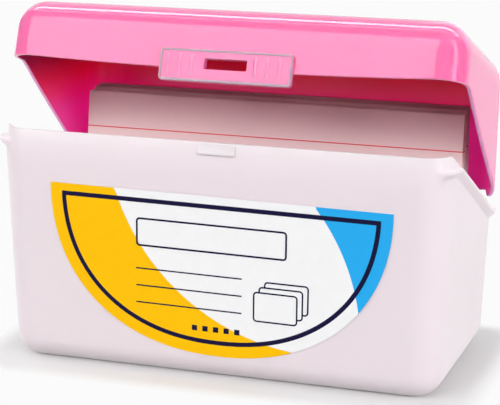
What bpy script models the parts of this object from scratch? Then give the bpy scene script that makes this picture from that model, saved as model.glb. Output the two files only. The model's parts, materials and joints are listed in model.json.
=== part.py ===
"""Hinged card file box for 5 x 3 inch index cards: a milky bin, a hinged lid, a label and the cards.

Metres, +Z up, +X to the right seen from the front, origin at the centre of the underside.
The lid is modelled shut, then turned open about its hinge by rest_opening.
"""
import math

import bmesh
import bpy
from mathutils import Vector

# Index cards, 5 x 3 inches, in three packs that lean back on each other
card_width = 0.1270
card_height = 0.0762
card_thickness = 0.00023
card_gap = 0.00027
card_clearance = 0.0003
pack_gap = 0.00035
pack_rear_room = 0.00909
card_packs = {
    "front": {"count": 10, "lean": math.radians(7.75), "shift_share": 0.0},
    "middle": {"count": 10, "lean": math.radians(4.5), "shift_share": -0.0031},
    "rear": {"count": 3, "lean": math.radians(0.5), "shift_share": -0.0047},
}

# Bin: outside sizes at the underside, and its drafts
card_side_room = 0.00527
bin_half_width = card_width / 2 + card_side_room
bin_half_depth = 0.035855
bin_side_draft = math.radians(1.99)
bin_end_draft = math.radians(1.63)
bin_corner_radius = 0.00916
bin_foot_radius = 0.00756
bin_wall = 0.0016
bin_floor = 0.0010

# Bin rim: high along the front, slanting down the sides, low along the rear
card_stand_proud = 0.00224
rim_fall = 0.02594
rim_level_run = 0.00676
rim_front_height = card_height - card_stand_proud
rim_rear_height = rim_front_height - rim_fall
rim_front_place = -bin_half_depth - rim_front_height * math.tan(bin_end_draft)
rim_rear_place = bin_half_depth + rim_rear_height * math.tan(bin_end_draft)
rim_side_place = bin_half_width + rim_front_height * math.tan(bin_side_draft)
rim_slant_start = rim_front_place + rim_level_run
rim_slant_end = rim_rear_place - bin_corner_radius

# Step and ledge that the lid's skirt comes down to
skirt_recess = 0.0010
front_step_drop = 0.0036
ledge_drop = 0.0021
ledge_reach = 0.0018
ledge_bevel = 0.0006
ledge_thickness = 0.0029
ledge_start_run = 0.00156
ledge_runout = 0.0016
skirt_seat_gap = 0.0003

# Lid, shut
lid_side_overhang = 0.00054
lid_front_overhang = 0.0017
lid_rear_overhang = 0.00029
lid_rise = 0.01611
lid_half_width = rim_side_place + lid_side_overhang
lid_front_place = rim_front_place - lid_front_overhang
lid_rear_place = rim_rear_place + lid_rear_overhang
lid_top_height = rim_front_height + lid_rise
lid_side_draft = math.radians(0.42)
lid_front_draft = math.radians(1.51)
lid_rear_slope = math.radians(12.75)
lid_front_radius = 0.00845
lid_rear_radius = 0.01176
lid_top_radius = 0.00959
lid_wall = 0.0012
least_corner_radius = 0.0004

# Lower edge of the lid's skirt: level in front, slanting down the sides, a foot, a low rear
skirt_overlap = 0.00266
skirt_front_bow = 0.00127
skirt_level_run = 0.01216
skirt_foot_overlap = 0.00172
skirt_foot_run = 0.00511
skirt_rear_run = 0.00401
skirt_rear_clearance = 0.0005
skirt_front_height = rim_front_height - skirt_overlap
skirt_foot_height = rim_rear_height - skirt_foot_overlap
skirt_slant_start = lid_front_place + skirt_level_run
skirt_slant_end = lid_rear_place - skirt_foot_run

# Latch tab on the lid's front, with its slot and finger ribs
tab_width = 0.0418
tab_centre = 0.0006
tab_below_skirt = 0.0053
tab_above_skirt = 0.0046
tab_thickness = 0.0012
tab_overlap = 0.0001
tab_corner_radius = 0.0012
slot_width = 0.0128
slot_below_skirt = 0.0014
slot_height = 0.00315
slot_corner_radius = 0.0004
rib_place_shares = (0.48, 0.65, 0.84)
rib_width = 0.0009
rib_end_radius = 0.0004
rib_height = 0.0058
rib_reach = 0.0004
rib_above_skirt = 0.0007
tab_bottom = skirt_front_height - tab_below_skirt
tab_top = skirt_front_height + tab_above_skirt
tab_inner_place = lid_front_place + tab_overlap
tab_outer_place = tab_inner_place - tab_thickness

# Catch on the bin's front, a wedge that the latch tab swings past
catch_width = 0.0116
catch_top_drop = 0.0006
catch_bottom_drop = 0.0038
catch_clearance = 0.0003

# Hinge: pins between ears on the bin, clips on the lid
hinge_pin_radius = 0.0012
hinge_ear_wall = 0.0006
hinge_pin_clearance = 0.0003
hinge_clip_wall = 0.0009
hinge_wall_clearance = 0.0002
hinge_above_rim = 0.0020
hinge_clip_length = 0.0140
hinge_ear_thickness = 0.0030
hinge_side_gap = 0.0003
hinge_spacing = 0.0900
hinge_clip_mouth_degrees = 100
ear_front_gap = 0.0006
ear_gusset_drop = 0.0090
rest_opening = math.radians(18.77)
hinge_ear_radius = hinge_pin_radius + hinge_ear_wall
hinge_clip_bore = hinge_pin_radius + hinge_pin_clearance
hinge_clip_radius = hinge_clip_bore + hinge_clip_wall
hinge_place = rim_rear_place + hinge_ear_radius + hinge_wall_clearance
hinge_height = rim_rear_height + hinge_above_rim

# Label on the bin's front: a straight top and one full curve below it
label_half_width = 0.0540
label_depth = 0.0499
label_below_rim = 0.0163
label_centre = 0.0011
label_thickness = 0.0002
label_gap = 0.0002
label_turn = math.radians(0.65)
label_roundness = 2.2

# How finely round shapes are faceted, and how far cutters run past what they cut
corner_steps = 8
edge_steps = 5
front_steps = 8
pin_steps = 12
small_round_steps = 6
label_round_steps = 40
overrun = 0.001


def clear_scene():
    for thing in list(bpy.data.objects):
        bpy.data.objects.remove(thing, do_unlink=True)


def plastic(name, colour, roughness, transmission=0.0):
    """A Principled material for one sub-part."""
    material = bpy.data.materials.new(name)
    material.use_nodes = True
    shader = material.node_tree.nodes["Principled BSDF"]
    shader.inputs["Base Color"].default_value = (*colour, 1.0)
    shader.inputs["Roughness"].default_value = roughness
    shader.inputs["Metallic"].default_value = 0.0
    shader.inputs["Transmission Weight"].default_value = transmission
    return material


def add_object(name, mesh, material=None, parent=None):
    thing = bpy.data.objects.new(name, mesh)
    bpy.context.scene.collection.objects.link(thing)
    if material is not None and not mesh.materials:
        mesh.materials.append(material)
    if parent is not None:
        thing.parent = parent
    return thing


def add_empty(name, location, tilt):
    empty = bpy.data.objects.new(name, None)
    bpy.context.scene.collection.objects.link(empty)
    empty.location = location
    empty.rotation_euler = (tilt, 0, 0)
    return empty


def mesh_from(bm, name):
    """Faces point outwards, and the mesh is smooth where it is round."""
    bmesh.ops.recalc_face_normals(bm, faces=bm.faces[:])
    mesh = bpy.data.meshes.new(name)
    bm.to_mesh(mesh)
    bm.free()
    mesh.shade_smooth()
    mesh.set_sharp_from_angle(angle=math.radians(30))
    return mesh


def arc(centre_x, centre_y, radius, start, sweep, steps):
    """Points along a circle's arc, in degrees, ends included."""
    points = []
    for step in range(steps + 1):
        angle = math.radians(start + sweep * step / steps)
        points.append((centre_x + radius * math.cos(angle), centre_y + radius * math.sin(angle)))
    return points


def rounded_outline(half_width, front, rear, front_radius, rear_radius, side_break):
    """A rounded rectangle seen from above, counter-clockwise from the front's left end.

    The front has extra points for its bow, and each side one at side_break for its kink.
    """
    front_radius = max(front_radius, least_corner_radius)
    rear_radius = max(rear_radius, least_corner_radius)
    left_end = -half_width + front_radius
    right_end = half_width - front_radius
    points = []
    for step in range(1, front_steps):
        points.append((left_end + (right_end - left_end) * step / front_steps, front))
    points += arc(right_end, front + front_radius, front_radius, -90, 90, corner_steps)
    points.append((half_width, side_break))
    points += arc(half_width - rear_radius, rear - rear_radius, rear_radius, 0, 90, corner_steps)
    points += arc(-half_width + rear_radius, rear - rear_radius, rear_radius, 90, 90, corner_steps)
    points.append((-half_width, side_break))
    points += arc(left_end, front + front_radius, front_radius, 180, 90, corner_steps)
    return points


def bin_outline(height, inset):
    half_width = bin_half_width + height * math.tan(bin_side_draft) - inset
    half_depth = bin_half_depth + height * math.tan(bin_end_draft) - inset
    radius = bin_corner_radius - inset
    return rounded_outline(half_width, -half_depth, half_depth, radius, radius, 0)


def lid_outline(height, inset):
    above_skirt = height - skirt_front_height
    half_width = lid_half_width - above_skirt * math.tan(lid_side_draft) - inset
    front = lid_front_place + above_skirt * math.tan(lid_front_draft) + inset
    rear = lid_rear_place - (height - rim_rear_height) * math.tan(lid_rear_slope) - inset
    return rounded_outline(half_width, front, rear, lid_front_radius - inset, lid_rear_radius - inset,
                           skirt_slant_start)


def rim_height(place):
    """Height of the bin's rim at a distance from the middle, front to rear."""
    share = (place - rim_slant_start) / (rim_slant_end - rim_slant_start)
    share = min(max(share, 0), 1)
    return rim_front_height + (rim_rear_height - rim_front_height) * share


def skirt_height(across, place):
    """Height of the shut lid's lower edge."""
    if place > lid_rear_place - skirt_rear_run:
        return rim_rear_height + skirt_rear_clearance
    share = (place - skirt_slant_start) / (skirt_slant_end - skirt_slant_start)
    share = min(max(share, 0), 1)
    height = skirt_front_height + (skirt_foot_height - skirt_front_height) * share
    if place < lid_front_place + lid_front_radius:
        straight = lid_half_width - lid_front_radius
        height -= skirt_front_bow * max(1 - (across / straight) ** 2, 0)
    return height


def ledge_height(place):
    """Top of the ledge: a set drop below the rim, and always below the lid's skirt."""
    return min(rim_height(place) - ledge_drop, skirt_height(bin_half_width, place) - skirt_seat_gap)


def ledge_share(place):
    """0 along the front, 1 along the sides and the rear."""
    return min(max((place - rim_front_place - ledge_start_run) / ledge_runout, 0), 1)


def ring(outline_at, heights, insets):
    """One loop of points, each at its own height and inset."""
    return [(*outline_at(z, inset)[i], z) for i, (z, inset) in enumerate(zip(heights, insets))]


def level_ring(outline_at, height, inset):
    return [(x, y, height) for x, y in outline_at(height, inset)]


def loft(rings, name, origin=(0, 0, 0)):
    """A closed mesh through loops of points, capped at its first and last loop."""
    bm = bmesh.new()
    loops = []
    for points in rings:
        loops.append([bm.verts.new(Vector(point) - Vector(origin)) for point in points])
    for lower, upper in zip(loops, loops[1:]):
        for i in range(len(lower)):
            j = (i + 1) % len(lower)
            bm.faces.new((lower[i], lower[j], upper[j], upper[i]))
    bm.faces.new(loops[0])
    bm.faces.new(loops[-1])
    return mesh_from(bm, name)


def prism(profile, start, end, name, origin=(0, 0, 0), along="x"):
    """A closed outline pushed along X (profile in Y and Z) or along Y (profile in X and Z)."""
    bm = bmesh.new()
    caps = []
    for place in (start, end):
        if along == "x":
            points = [(place, a, b) for a, b in profile]
        else:
            points = [(a, place, b) for a, b in profile]
        caps.append([bm.verts.new(Vector(point) - Vector(origin)) for point in points])
    for i in range(len(profile)):
        j = (i + 1) % len(profile)
        bm.faces.new((caps[0][i], caps[0][j], caps[1][j], caps[1][i]))
    bm.faces.new(caps[0])
    bm.faces.new(caps[1])
    return mesh_from(bm, name)


def rounded_rectangle(left, right, bottom, top, radius, steps):
    points = arc(right - radius, bottom + radius, radius, -90, 90, steps)
    points += arc(right - radius, top - radius, radius, 0, 90, steps)
    points += arc(left + radius, top - radius, radius, 90, 90, steps)
    points += arc(left + radius, bottom + radius, radius, 180, 90, steps)
    return points


def apply_tool(target, name, mesh, operation, parent=None):
    """Joins a shape to the target or cuts it out, and hides the tool itself."""
    tool = add_object(name, mesh, parent=parent)
    tool.hide_render = True
    tool.display_type = "WIRE"
    modifier = target.modifiers.new(name, "BOOLEAN")
    modifier.operation = operation
    modifier.solver = "EXACT"
    modifier.object = tool


def bin_mesh():
    """The bin's wall as one loft: up the outside, over the rim and down the inside."""
    guide = bin_outline(rim_front_height, 0)
    rim = [rim_height(y) for x, y in guide]
    step = [z - front_step_drop for z in rim]
    ledge = [ledge_height(y) for x, y in guide]
    share = [ledge_share(y) for x, y in guide]
    none = [0] * len(guide)
    recess = [skirt_recess] * len(guide)
    reach = [-ledge_reach * s for s in share]

    def mixed(step_drop, ledge_drop_below):
        """Heights between the plain step in front and the ledge along the sides."""
        return [(a - step_drop) * (1 - s) + (b - ledge_drop_below) * s for a, b, s in zip(step, ledge, share)]

    rings = []
    for i in range(edge_steps + 1):
        turn = math.radians(90 * i / edge_steps)
        rings.append(level_ring(bin_outline, bin_foot_radius * (1 - math.cos(turn)),
                                bin_foot_radius * (1 - math.sin(turn))))
    tip = ledge_bevel + ledge_thickness
    rings.append(ring(bin_outline, mixed(tip, tip), none))
    rings.append(ring(bin_outline, mixed(ledge_bevel + ledge_bevel, tip - ledge_reach), reach))
    rings.append(ring(bin_outline, mixed(ledge_bevel, ledge_bevel), reach))
    rings.append(ring(bin_outline, mixed(0, 0), recess))
    rings.append(ring(bin_outline, rim, recess))
    rings.append(ring(bin_outline, rim, [bin_wall] * len(guide)))
    inner_radius = bin_foot_radius - bin_wall
    for i in range(edge_steps, -1, -1):
        turn = math.radians(90 * i / edge_steps)
        rings.append(level_ring(bin_outline, bin_floor + inner_radius * (1 - math.cos(turn)),
                                bin_wall + inner_radius * (1 - math.sin(turn))))
    return loft(rings, "card_bin")


def front_face(height):
    """Place of the bin's front wall at a height, before its step."""
    return -(bin_half_depth + height * math.tan(bin_end_draft))


def catch_profile():
    """A wedge that the tab's lower edge swings past with catch_clearance."""
    tab_radius = math.hypot(hinge_place - tab_inner_place, tab_bottom - hinge_height)

    def swept(height):
        reach = math.sqrt(tab_radius ** 2 - (height - hinge_height) ** 2)
        return hinge_place - reach + catch_clearance

    top = rim_front_height - catch_top_drop
    bottom = rim_front_height - catch_bottom_drop
    root = front_face(bottom) + bin_wall
    low = bottom + ledge_bevel
    return [(root, bottom), (root, top), (swept(top), top), (swept(low), low), (front_face(bottom), bottom)]


def hinge_places():
    """Both hinges, left and right of the middle."""
    return {"left": -hinge_spacing / 2, "right": hinge_spacing / 2}


def ear_profile():
    """A round boss on the hinge axis, with a foot down to the bin's rear wall."""
    gusset = rim_rear_height - ear_gusset_drop
    wall = bin_half_depth + gusset * math.tan(bin_end_draft)
    foot_front = rim_rear_place + ear_front_gap
    root = rim_rear_place - (bin_wall + skirt_recess) / 2
    shoulder = rim_rear_height - ledge_drop - ledge_bevel
    points = arc(hinge_place, hinge_height, hinge_ear_radius, 210, -210, corner_steps)
    points.append((hinge_place + hinge_ear_radius, shoulder))
    points.append((wall, gusset))
    points.append((wall - bin_wall / 2, gusset))
    points.append((root, shoulder))
    points.append((foot_front, shoulder))
    points.append((foot_front, rim_rear_height))
    return points


def make_bin():
    milky = plastic("milky polypropylene", (0.86, 0.82, 0.84), 0.35, 0.25)
    body = add_object("card_bin", bin_mesh(), milky)
    catch = prism(catch_profile(), tab_centre - catch_width / 2, tab_centre + catch_width / 2, "catch")
    apply_tool(body, "catch_shape", catch, "UNION")
    ear_start = hinge_clip_length / 2 + hinge_side_gap
    ear_end = ear_start + hinge_ear_thickness
    pin_reach = (ear_start + ear_end) / 2
    for side, place in hinge_places().items():
        for end, near, far in (("left", place - ear_end, place - ear_start),
                               ("right", place + ear_start, place + ear_end)):
            ear = prism(ear_profile(), near, far, "hinge_ear")
            apply_tool(body, f"{side}_hinge_{end}_ear_shape", ear, "UNION")
        circle = arc(hinge_place, hinge_height, hinge_pin_radius, 0, 360, pin_steps)[:-1]
        pin = prism(circle, place - pin_reach, place + pin_reach, "hinge_pin")
        apply_tool(body, f"{side}_hinge_pin_shape", pin, "UNION")


def lid_mesh(axis):
    """The lid's wall as one loft: from the top's middle down the outside and up the inside."""
    guide = lid_outline(rim_rear_height, 0)
    edge = [skirt_height(x, y) for x, y in guide]
    rings = []
    for i in range(edge_steps + 1):
        turn = math.radians(90 * i / edge_steps)
        rings.append(level_ring(lid_outline, lid_top_height - lid_top_radius * (1 - math.cos(turn)),
                                lid_top_radius * (1 - math.sin(turn))))
    rings.append(ring(lid_outline, edge, [0] * len(guide)))
    rings.append(ring(lid_outline, edge, [lid_wall] * len(guide)))
    inner_radius = lid_top_radius - lid_wall
    for i in range(edge_steps, -1, -1):
        turn = math.radians(90 * i / edge_steps)
        rings.append(level_ring(lid_outline, lid_top_height - lid_wall - inner_radius * (1 - math.cos(turn)),
                                lid_wall + inner_radius * (1 - math.sin(turn))))
    return loft(rings, "hinged_lid", axis)


def clip_profile():
    """A C-shaped clip round the pin, with its mouth to the rear and below."""
    start = -45 + hinge_clip_mouth_degrees / 2
    sweep = 360 - hinge_clip_mouth_degrees
    outer = arc(hinge_place, hinge_height, hinge_clip_radius, start, sweep, 2 * corner_steps)
    inner = arc(hinge_place, hinge_height, hinge_clip_bore, start + sweep, -sweep, 2 * corner_steps)
    return outer + inner


def tab_mesh(axis):
    """The latch tab's plate."""
    plate = rounded_rectangle(tab_centre - tab_width / 2, tab_centre + tab_width / 2, tab_bottom, tab_top,
                              tab_corner_radius, small_round_steps)
    return prism(plate, tab_outer_place, tab_inner_place + lid_wall / 2, "latch_tab", axis, "y")


def tab_back_mesh(axis):
    """What is cut from the plate's back below the skirt, so that it hangs in the skirt's outer face."""
    reach = tab_width / 2 + overrun
    left, right = tab_centre - reach, tab_centre + reach
    bottom, top = tab_bottom - overrun, skirt_front_height - skirt_front_bow
    return prism([(left, bottom), (right, bottom), (right, top), (left, top)],
                 tab_inner_place, tab_inner_place + lid_wall, "tab_back", axis, "y")


def rib_mesh(middle, axis):
    """One upright finger rib on the tab's face."""
    centre = skirt_front_height + rib_above_skirt
    outline = rounded_rectangle(middle - rib_width / 2, middle + rib_width / 2, centre - rib_height / 2,
                                centre + rib_height / 2, rib_end_radius, small_round_steps // 2)
    return prism(outline, tab_outer_place - rib_reach, tab_outer_place + tab_thickness / 2, "finger_rib",
                 axis, "y")


def slot_mesh(axis):
    bottom = skirt_front_height - slot_below_skirt
    outline = rounded_rectangle(tab_centre - slot_width / 2, tab_centre + slot_width / 2, bottom,
                                bottom + slot_height, slot_corner_radius, small_round_steps // 2)
    return prism(outline, tab_outer_place - overrun, tab_inner_place + lid_wall + overrun, "latch_slot",
                 axis, "y")


def make_lid():
    pink = plastic("pink gloss plastic", (0.96, 0.22, 0.50), 0.22)
    axis = (0, hinge_place, hinge_height)
    swing = add_empty("lid_hinge_axis", axis, -rest_opening)
    lid = add_object("hinged_lid", lid_mesh(axis), pink, swing)
    apply_tool(lid, "latch_tab_shape", tab_mesh(axis), "UNION", swing)
    plate = bpy.data.objects["latch_tab_shape"]
    apply_tool(plate, "tab_back_shape", tab_back_mesh(axis), "DIFFERENCE", swing)
    shares = [-share for share in reversed(rib_place_shares)] + list(rib_place_shares)
    for number, share in enumerate(shares, 1):
        rib = rib_mesh(tab_centre + share * tab_width / 2, axis)
        apply_tool(lid, f"finger_rib_{number}_shape", rib, "UNION", swing)
    apply_tool(lid, "latch_slot_shape", slot_mesh(axis), "DIFFERENCE", swing)
    for side, place in hinge_places().items():
        clip = prism(clip_profile(), place - hinge_clip_length / 2, place + hinge_clip_length / 2,
                     "hinge_clip", axis)
        apply_tool(lid, f"{side}_clip_shape", clip, "UNION", swing)


def label_outline():
    """The label's corners at the ends of its straight top, and the curve between them."""
    points = []
    for step in range(label_round_steps + 1):
        angle = math.pi + math.pi * step / label_round_steps
        across = math.copysign(abs(math.cos(angle)) ** (2 / label_roundness), math.cos(angle))
        down = abs(math.sin(angle)) ** (2 / label_roundness)
        points.append((across * label_half_width, -down * label_depth))
    turned = []
    for x, z in points:
        turned.append((x * math.cos(label_turn) + z * math.sin(label_turn),
                       z * math.cos(label_turn) - x * math.sin(label_turn)))
    return turned


def make_label():
    paper = plastic("label paper", (0.94, 0.94, 0.95), 0.5)
    sticker = prism(label_outline(), -label_thickness, 0, "front_label", along="y")
    label = add_object("front_label", sticker, paper)
    top = rim_front_height - label_below_rim
    label.location = (label_centre, front_face(top) - label_gap, top)
    label.rotation_euler = (bin_end_draft, 0, 0)


def card_seat(shift, rear_edge):
    """Height at which a card's lower corners clear the rounding round the bin's floor."""
    inner_radius = bin_foot_radius - bin_wall
    flat_corner = max(bin_corner_radius - bin_foot_radius, least_corner_radius)
    across = card_width / 2 + abs(shift) - (bin_half_width - bin_foot_radius)
    back = rear_edge - (bin_half_depth - bin_foot_radius)
    reach = across
    if back > -flat_corner:
        reach = math.hypot(across + flat_corner, back + flat_corner) - flat_corner
    reach = min(max(reach, 0), inner_radius)
    return bin_floor + inner_radius - math.sqrt(inner_radius ** 2 - reach ** 2) + card_clearance


def pack_depth(pack):
    """Depth of a pack along the floor."""
    pitch = card_thickness + card_gap
    return ((pack["count"] - 1) * pitch + card_thickness) / math.cos(pack["lean"])


def make_cards():
    """From the rear pack, which stands nearly upright, to the front one, which leans the most."""
    paper = plastic("card paper", (0.92, 0.90, 0.90), 0.75)
    half = card_width / 2
    sheet = prism([(0, 0), (card_thickness, 0), (card_thickness, card_height), (0, card_height)],
                  -half, half, "index_card")
    pitch = card_thickness + card_gap
    number = sum(pack["count"] for pack in card_packs.values())
    back_of_top = rim_rear_place - pack_rear_room
    for name, pack in reversed(card_packs.items()):
        lean = pack["lean"]
        shift = pack["shift_share"] * card_width
        top_place = back_of_top - pack_depth(pack)
        foot_place = top_place - card_height * math.sin(lean)
        seat = card_seat(shift, foot_place + pack_depth(pack))
        stack = add_empty(f"{name}_pack_foot", (shift, foot_place, seat), -lean)
        for place in range(pack["count"] - 1, -1, -1):
            card = add_object(f"index_card_{number:02d}", sheet, paper, stack)
            card.location = (0, place * pitch, place * pitch * math.tan(lean))
            number -= 1
        back_of_top = top_place - pack_gap


clear_scene()
make_bin()
make_lid()
make_label()
make_cards()
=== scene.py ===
# %% [markdown]
# # A hinged file box for index cards
#
# The real object is two plastic mouldings that clip together, a milky bin and a glossy pink lid, with a
# paper label on the front and packs of ruled cards inside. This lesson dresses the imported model: it keeps
# the model's sizes and places, but draws the slot and the finger ribs a little larger and the step in front
# as a slope, and gives each piece its fine shape, its edges and its finish.
# All lengths are metres, +Z is up and +X is to the right seen from the front.

# %% Load the frame
import json
import math

import bmesh
import bpy
from mathutils import Matrix, Vector


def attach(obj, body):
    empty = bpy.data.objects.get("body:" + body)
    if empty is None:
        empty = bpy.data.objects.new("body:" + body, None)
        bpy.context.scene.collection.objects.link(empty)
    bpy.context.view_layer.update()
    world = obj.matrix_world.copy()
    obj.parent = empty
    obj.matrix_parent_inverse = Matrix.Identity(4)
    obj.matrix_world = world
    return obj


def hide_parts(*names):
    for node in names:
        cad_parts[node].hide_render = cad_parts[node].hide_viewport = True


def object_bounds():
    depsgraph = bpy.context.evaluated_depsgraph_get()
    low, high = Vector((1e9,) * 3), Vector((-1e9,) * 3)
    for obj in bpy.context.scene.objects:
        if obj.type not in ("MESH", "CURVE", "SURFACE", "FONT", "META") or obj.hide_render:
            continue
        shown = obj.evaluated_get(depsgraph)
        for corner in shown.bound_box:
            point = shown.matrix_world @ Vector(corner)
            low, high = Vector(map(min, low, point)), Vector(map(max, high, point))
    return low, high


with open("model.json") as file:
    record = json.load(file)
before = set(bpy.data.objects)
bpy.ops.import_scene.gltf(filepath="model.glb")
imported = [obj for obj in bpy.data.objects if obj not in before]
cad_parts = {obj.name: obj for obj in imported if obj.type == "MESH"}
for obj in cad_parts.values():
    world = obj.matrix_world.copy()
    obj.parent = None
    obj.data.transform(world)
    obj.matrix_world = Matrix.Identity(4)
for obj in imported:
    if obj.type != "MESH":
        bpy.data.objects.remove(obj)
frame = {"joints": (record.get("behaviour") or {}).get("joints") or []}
model_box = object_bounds()
mm = 0.001
degree = math.radians(1)

# %% [markdown]
# ## The camera
#
# The picture was taken from a little above and to the right of the front, with a long lens, so upright
# edges stay nearly parallel. The camera is set by its turn round the box, its height angle, its distance
# and the point that it looks at. Those five values were fitted to the corners of the box and the cards.

# %% Place the camera
camera_turn = 18.46 * degree
camera_lift = 13.1 * degree
camera_roll = 0.53 * degree
camera_distance = 568.27 * mm
camera_target = Vector((-1.17 * mm, 0, 47.72 * mm))
camera_lens = 128.69


def make_camera():
    data = bpy.data.cameras.new("photo_camera")
    data.lens = camera_lens
    data.sensor_width = 36
    data.sensor_fit = "HORIZONTAL"
    camera = bpy.data.objects.new("photo_camera", data)
    bpy.context.scene.collection.objects.link(camera)
    back = Vector((math.sin(camera_turn) * math.cos(camera_lift),
                   -math.cos(camera_turn) * math.cos(camera_lift), math.sin(camera_lift)))
    right = Vector((math.cos(camera_turn), math.sin(camera_turn), 0))
    up = back.cross(right)
    rolled_right = right * math.cos(camera_roll) + up * math.sin(camera_roll)
    rolled_up = up * math.cos(camera_roll) - right * math.sin(camera_roll)
    place = camera_target + back * camera_distance
    turned = Matrix((rolled_right, rolled_up, back)).transposed().to_4x4()
    camera.matrix_world = Matrix.Translation(place) @ turned
    bpy.context.scene.camera = camera
    return camera


photo_camera = make_camera()
print("camera at", [round(v, 4) for v in photo_camera.matrix_world.translation])

# %% [markdown]
# ## Building with nodes
#
# The world, the floor and every finish are a few nodes in front of a shader. Small helpers add a node, set
# its plain values and link the others, so that each tree below reads as a short list of what it is.

# %% Node helpers
def add_node(tree, kind, settings=None, **inputs):
    """A node with its settings and inputs. An input that is an output socket is linked."""
    node = tree.nodes.new(kind)
    for name, value in (settings or {}).items():
        setattr(node, name, value)
    for name, value in inputs.items():
        key = int(name[1:]) if name[0] == "i" and name[1:].isdigit() else name.replace("_", " ")
        if isinstance(value, bpy.types.NodeSocket):
            tree.links.new(value, node.inputs[key])
        else:
            node.inputs[key].default_value = value
    return node


def calculate(tree, operation, first, second=0.0):
    """A Math node's result."""
    return add_node(tree, "ShaderNodeMath", {"operation": operation}, i0=first, i1=second).outputs[0]


def spread(tree, value, low, high, start=0.0, end=1.0, shape="LINEAR"):
    """A value from start to end, set out again from low to high."""
    node = add_node(tree, "ShaderNodeMapRange", {"interpolation_type": shape}, Value=value, From_Min=start,
                    From_Max=end, To_Min=low, To_Max=high)
    return node.outputs["Result"]


def blend(tree, factor, first, second, how="MIX"):
    """A Mix node between two colours."""
    return add_node(tree, "ShaderNodeMix", {"data_type": "RGBA", "blend_type": how}, Factor=factor, A=first,
                    B=second).outputs["Result"]


def start_material(name, colour, roughness, ior=1.49):
    """A new Principled material, its tree, its shader and its Object coordinates."""
    material = bpy.data.materials.new(name)
    material.use_nodes = True
    tree = material.node_tree
    shader = tree.nodes["Principled BSDF"]
    shader.inputs["Base Color"].default_value = (*colour, 1)
    shader.inputs["Roughness"].default_value = roughness
    shader.inputs["IOR"].default_value = ior
    place = add_node(tree, "ShaderNodeTexCoord").outputs["Object"]
    return material, tree, shader, place


def vary_colour(tree, shader, place, first, second, size):
    """Soft clouds between two nearby colours. The size is that of a cloud."""
    cloud = add_node(tree, "ShaderNodeTexNoise", Vector=place, Scale=1 / size, Detail=3.0)
    colour = blend(tree, cloud.outputs["Fac"], (*first, 1), (*second, 1))
    tree.links.new(colour, shader.inputs["Base Color"])


def grain(tree, shader, place, size, depth):
    """A fine unevenness of the surface, as deep as given."""
    noise = add_node(tree, "ShaderNodeTexNoise", Vector=place, Scale=1 / size, Detail=2.0)
    bump = add_node(tree, "ShaderNodeBump", Strength=1.0, Distance=depth, Height=noise.outputs["Fac"])
    tree.links.new(bump.outputs["Normal"], shader.inputs["Normal"])


def vary_roughness(tree, shader, place, low, high, size):
    noise = add_node(tree, "ShaderNodeTexNoise", Vector=place, Scale=1 / size, Detail=4.0)
    tree.links.new(spread(tree, noise.outputs["Fac"], low, high), shader.inputs["Roughness"])


# %% [markdown]
# ## The studio
#
# A white sweep and large soft lamps, low in front and at the sides, so that little of their light gets up
# under the open lid and its inside stays deep. The lid is glossy, so what it mirrors matters as much as what
# lights it. Some panels are there only to be mirrored: a big one at the front left fills the front of the
# lid, two narrow strips above draw the thin bright lines along its upper edge, and an upright strip at the
# right draws the line down its corner. The world and the floor are white where the camera sees them, and
# dimmer as a light.

# %% Lamps and mirrored panels
scene = bpy.context.scene
scene.view_settings.view_transform = "Standard"
studio_distance = 9.0
# Each panel is its azimuth, elevation, width and height in degrees, and its radiance.
lamps = {
    "left_key": (-34, 26, 50, 18, 7.1),
    "right_key": (50, 22, 50, 20, 4.0),
    "right_side": (85, 16, 50, 28, 3.9),
    "back_key": (192, 25, 60, 30, 1.6),
    "left_side": (-105, 20, 50, 36, 2.2),
}
mirrored = {
    "front_panel": (-31, 33, 36, 57, 4.0),
    "upper_strip": (0, 114, 80, 10, 10.0),
    "second_strip": (0, 98, 70, 5, 4.0),
    "back_panel": (0, 150, 100, 50, 1.0),
    "corner_strip": (72, 24, 16, 60, 4.2),
    "side_panel": (160, 20, 60, 50, 1.0),
}


def place_panel(name, azimuth, elevation, width, height, radiance, mirror_only):
    """A far panel that faces the box, its sizes given as angles. Azimuth 0 is in front, 90 at the right."""
    data = bpy.data.lights.new(name, "AREA")
    data.shape = "RECTANGLE"
    data.size = 2 * studio_distance * math.tan(width * degree / 2)
    data.size_y = 2 * studio_distance * math.tan(height * degree / 2)
    data.energy = radiance * math.pi * data.size * data.size_y
    panel = bpy.data.objects.new(name, data)
    scene.collection.objects.link(panel)
    turn = Matrix.Rotation(azimuth * degree, 4, "Z") @ Matrix.Rotation((90 - elevation) * degree, 4, "X")
    panel.matrix_world = turn @ Matrix.Translation((0, 0, studio_distance))
    panel.visible_camera = False
    panel.visible_transmission = False
    panel.visible_glossy = mirror_only
    panel.visible_diffuse = not mirror_only
    return panel


for name, panel in lamps.items():
    place_panel(name, *panel, mirror_only=False)
for name, panel in mirrored.items():
    place_panel(name, *panel, mirror_only=True)
print("lamps:", ", ".join(lamps), "mirrored:", ", ".join(mirrored))

# %% World and floor
world_seen = 0.965
world_low = 0.12
world_high = 0.30
floor_size = 8.0
floor_seen = 0.82
shadow_near = 5 * mm
shadow_far = 15 * mm
floor_bounce = 0.48


def seen_directly(tree):
    """1 for camera and see-through rays, 0 for rays that carry light."""
    path = add_node(tree, "ShaderNodeLightPath")
    return calculate(tree, "MAXIMUM", path.outputs["Is Camera Ray"], path.outputs["Is Transmission Ray"])


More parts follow.
